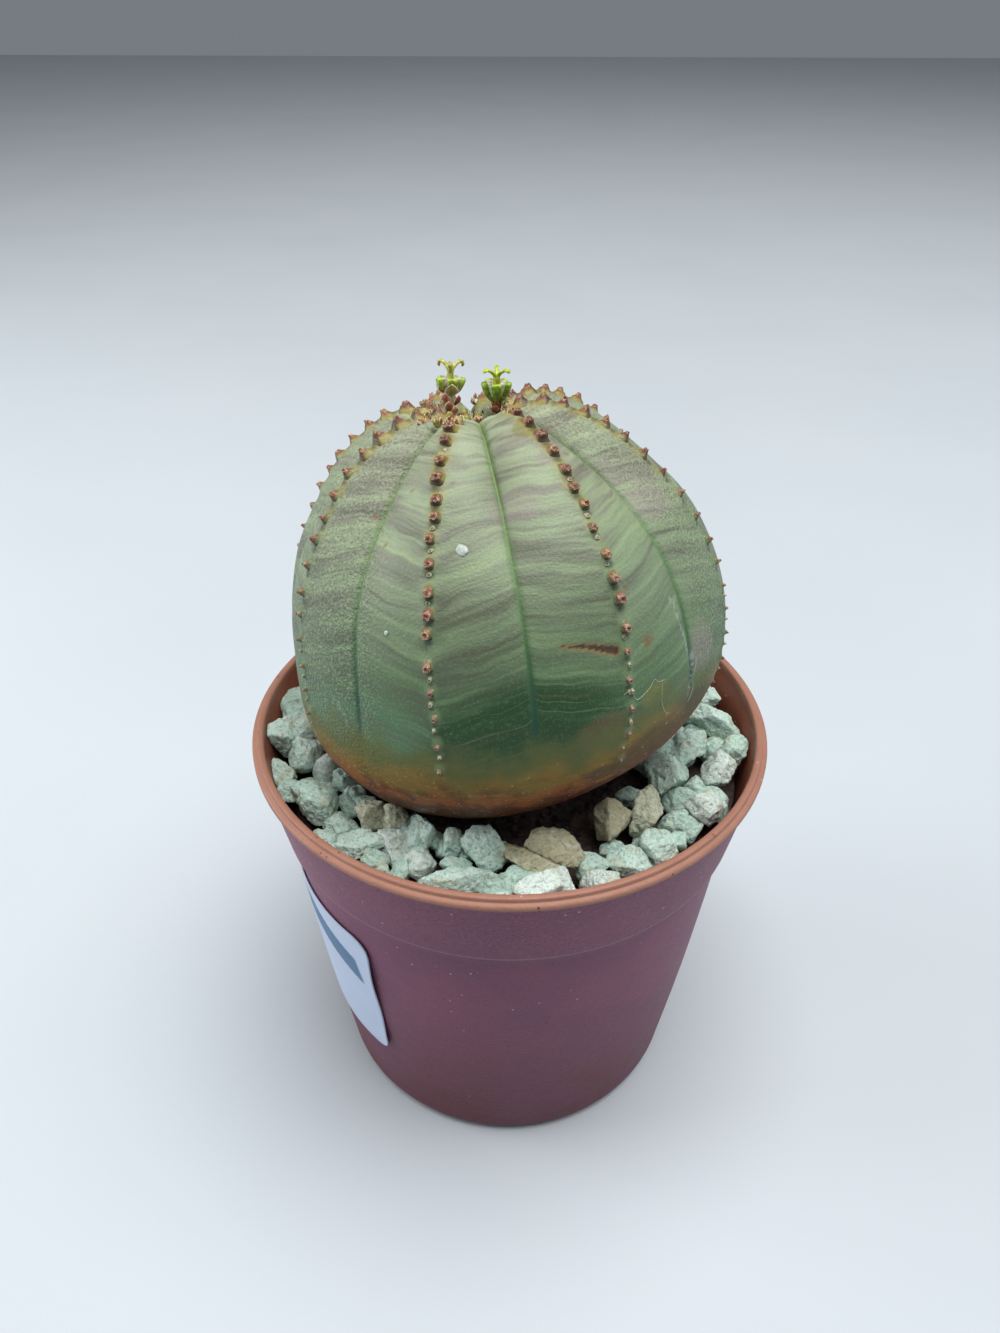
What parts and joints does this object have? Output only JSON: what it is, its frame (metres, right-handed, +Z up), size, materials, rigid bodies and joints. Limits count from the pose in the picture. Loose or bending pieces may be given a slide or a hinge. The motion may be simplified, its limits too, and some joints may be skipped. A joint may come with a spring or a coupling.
{
  "type": "potted baseball plant",
  "caption": "A ribbed ball-shaped succulent with small flower cups, growing in gravel-topped soil in a tapered plastic pot with a plain label",
  "frame": {"origin": "centre of the pot's base ring, on the surface that the pot stands on", "axes": "+Z up along the pot's axis; the front is -Y, with the label on the left front"},
  "size_m": [0.055, 0.055, 0.0842],
  "materials": {
    "pot": "moulded thin plastic, terracotta brown, slightly grained",
    "soil": null,
    "gravel": null,
    "plant_skin": null,
    "flower_olive": null,
    "flower_green": null,
    "label": "white paper sticker"
  },
  "bodies": {
    "root": {"pot": "pot", "soil": "soil", "gravel": "gravel", "plant_body": "plant_skin", "cyathium_left": "flower_olive", "cyathium_right": "flower_green", "label": "label"}
  },
  "joints": []
}
